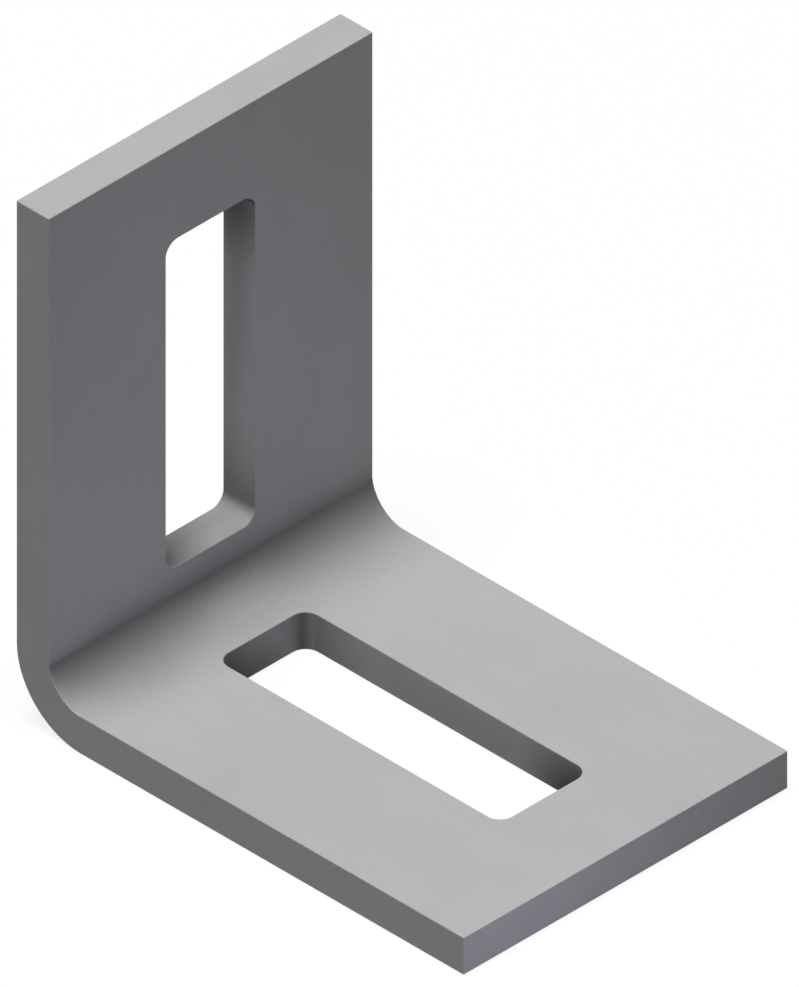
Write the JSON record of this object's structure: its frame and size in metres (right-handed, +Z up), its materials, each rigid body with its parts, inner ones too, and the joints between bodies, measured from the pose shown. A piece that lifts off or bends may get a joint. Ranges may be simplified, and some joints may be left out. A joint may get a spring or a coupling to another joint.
{
  "type": "angle bracket",
  "caption": "Right-angle bracket folded from flat steel plate, with equal legs and a long round-cornered bolt slot along each leg for an adjustable corner joint.",
  "frame": {"origin": "middle of the footprint, at the level of the base leg's outer face", "axes": "+Z up along the upright leg, +X along the base leg from the fold to its tip, +Y across the width along the fold"},
  "size_m": [0.0552, 0.04, 0.0552],
  "materials": {
    "steel": "satin"
  },
  "bodies": {
    "root": {"angle_bracket": "steel"}
  },
  "joints": []
}
